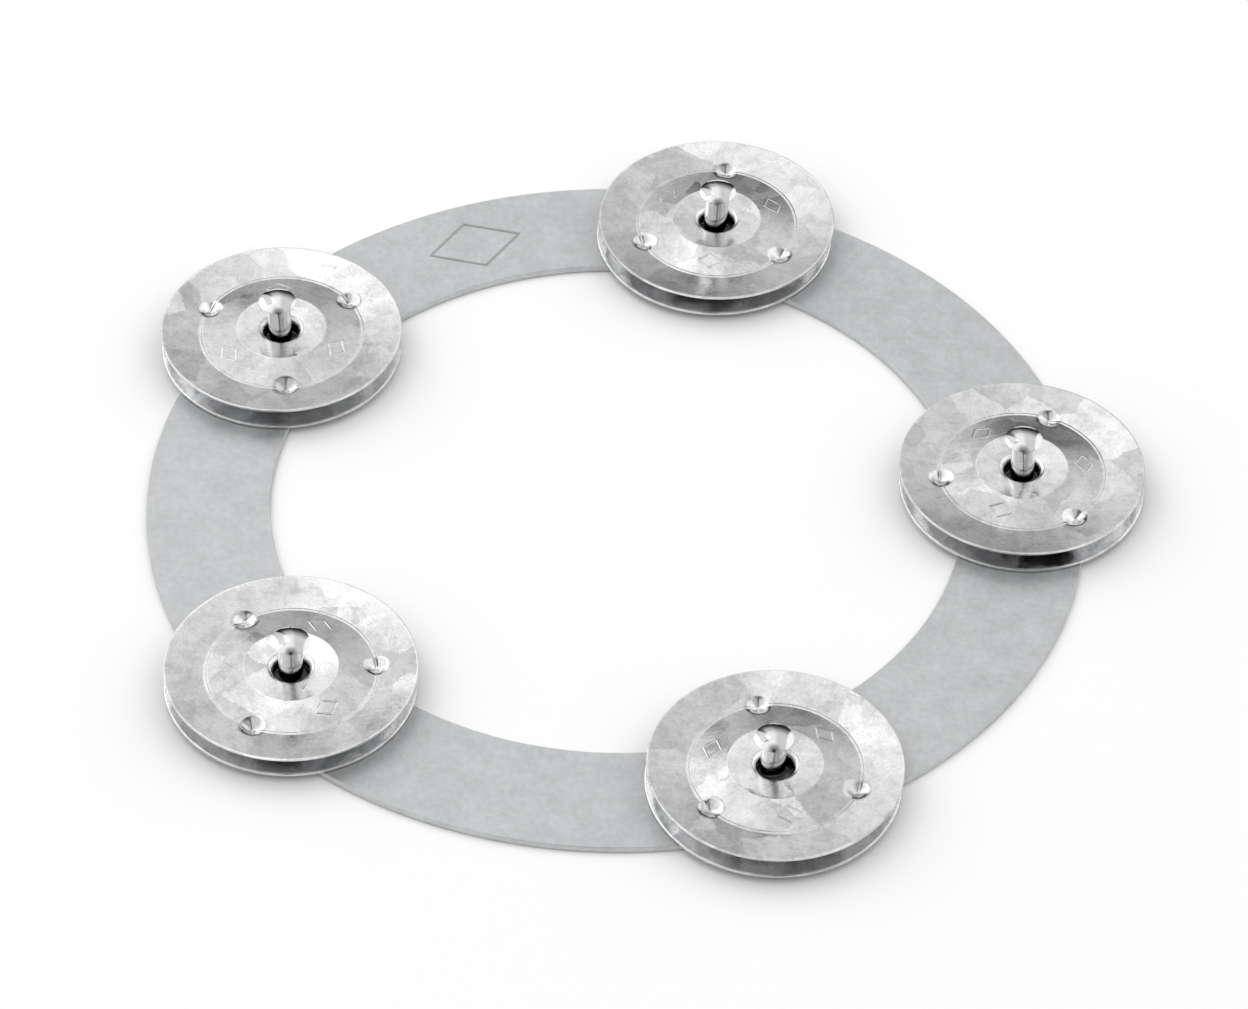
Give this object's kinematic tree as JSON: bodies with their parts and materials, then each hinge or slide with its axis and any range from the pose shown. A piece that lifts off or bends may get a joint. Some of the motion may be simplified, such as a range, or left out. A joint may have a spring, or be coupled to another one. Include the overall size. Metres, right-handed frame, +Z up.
{
  "type": "cymbal jingle ring",
  "caption": "Flat steel ring that lies on a cymbal, carrying upright rivets that each hold a loose back-to-back pair of stamped sheet-steel jingles.",
  "frame": {"origin": "centre of the ring on its underside", "axes": "+Z up, along the ring's axis and the rivets; +X through station 1; stations are numbered counter-clockwise from above"},
  "size_m": [0.1624, 0.1666, 0.0117],
  "materials": {
    "ring_steel": "matte electro-galvanised sheet steel",
    "jingle_zinc": "semi-gloss hot-dip galvanised sheet steel with zinc spangle",
    "rivet_nickel": "polished nickel plate"
  },
  "bodies": {
    "ring": {"ring_plate": "ring_steel", "rivet_1": "rivet_nickel", "rivet_2": "rivet_nickel", "rivet_3": "rivet_nickel", "rivet_4": "rivet_nickel", "rivet_5": "rivet_nickel"},
    "lower_jingle_1": {"lower_jingle_1": "jingle_zinc"},
    "upper_jingle_1": {"upper_jingle_1": "jingle_zinc"},
    "lower_jingle_2": {"lower_jingle_2": "jingle_zinc"},
    "upper_jingle_2": {"upper_jingle_2": "jingle_zinc"},
    "lower_jingle_3": {"lower_jingle_3": "jingle_zinc"},
    "upper_jingle_3": {"upper_jingle_3": "jingle_zinc"},
    "lower_jingle_4": {"lower_jingle_4": "jingle_zinc"},
    "upper_jingle_4": {"upper_jingle_4": "jingle_zinc"},
    "lower_jingle_5": {"lower_jingle_5": "jingle_zinc"},
    "upper_jingle_5": {"upper_jingle_5": "jingle_zinc"}
  },
  "joints": [
    {"name": "lower_jingle_1_rattle", "type": "slide", "parent": "ring", "child": "lower_jingle_1", "axis": [0, 0, 1], "range_m": [0, 0.0029]},
    {"name": "upper_jingle_1_rattle", "type": "slide", "parent": "lower_jingle_1", "child": "upper_jingle_1", "axis": [0, 0, 1], "range_m": [0, 0.0029]},
    {"name": "lower_jingle_2_rattle", "type": "slide", "parent": "ring", "child": "lower_jingle_2", "axis": [0, 0, 1], "range_m": [0, 0.0029]},
    {"name": "upper_jingle_2_rattle", "type": "slide", "parent": "lower_jingle_2", "child": "upper_jingle_2", "axis": [0, 0, 1], "range_m": [0, 0.0029]},
    {"name": "lower_jingle_3_rattle", "type": "slide", "parent": "ring", "child": "lower_jingle_3", "axis": [0, 0, 1], "range_m": [0, 0.0029]},
    {"name": "upper_jingle_3_rattle", "type": "slide", "parent": "lower_jingle_3", "child": "upper_jingle_3", "axis": [0, 0, 1], "range_m": [0, 0.0029]},
    {"name": "lower_jingle_4_rattle", "type": "slide", "parent": "ring", "child": "lower_jingle_4", "axis": [0, 0, 1], "range_m": [0, 0.0029]},
    {"name": "upper_jingle_4_rattle", "type": "slide", "parent": "lower_jingle_4", "child": "upper_jingle_4", "axis": [0, 0, 1], "range_m": [0, 0.0029]},
    {"name": "lower_jingle_5_rattle", "type": "slide", "parent": "ring", "child": "lower_jingle_5", "axis": [0, 0, 1], "range_m": [0, 0.0029]},
    {"name": "upper_jingle_5_rattle", "type": "slide", "parent": "lower_jingle_5", "child": "upper_jingle_5", "axis": [0, 0, 1], "range_m": [0, 0.0029]}
  ]
}
